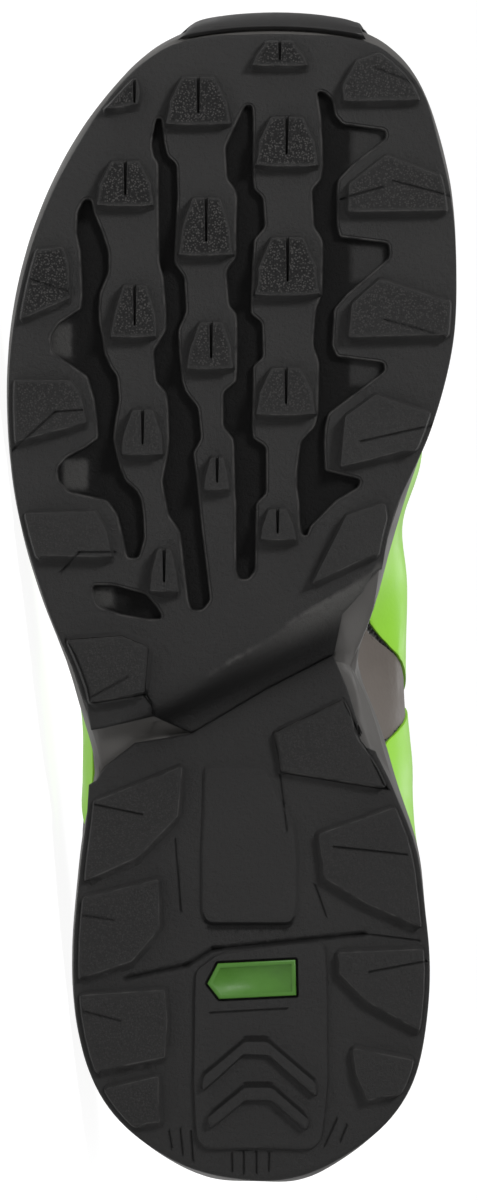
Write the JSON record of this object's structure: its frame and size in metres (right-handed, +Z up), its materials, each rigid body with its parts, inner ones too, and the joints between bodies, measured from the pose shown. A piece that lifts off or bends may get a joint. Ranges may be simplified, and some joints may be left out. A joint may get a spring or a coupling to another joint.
{
  "type": "trail running shoe",
  "caption": "Low-cut trail running shoe with a lugged rubber outsole, foam midsole, hollow upper with overlays, padded collar, tongue and laces.",
  "frame": {"origin": "centre of the bounding box in plan, on the floor, with the shoe lying on its outer side", "axes": "+X towards the heel, -Y the way the tread faces, +Z up towards the shoe's inner side"},
  "size_m": [0.3002, 0.122, 0.1201],
  "materials": {
    "rubber": "matt moulded rubber, pebbled on the lugs",
    "badge": "green moulded insert, no lettering",
    "foam": "matt moulded foam with a fine skin",
    "insole": "cloth-topped foam",
    "mesh": "open air mesh over a fine lining",
    "tongue": "padded mesh",
    "bumper": "smooth rubber film",
    "counter": "satin moulded film",
    "overlay": "taupe synthetic leather",
    "green": "lime synthetic overlay",
    "lace": "flat woven lace"
  },
  "bodies": {
    "root": {"outsole_forefoot": "rubber", "outsole_heel": "rubber", "heel_badge": "badge", "midsole": "foam", "insole": "insole", "upper": "mesh", "tongue": "tongue", "toe_bumper": "bumper", "heel_counter": "counter", "eyestay": "overlay", "saddle_inner": "overlay", "green_inner_front": "green", "green_inner_rear": "green", "green_outer": "green", "lace": "lace"}
  },
  "joints": []
}
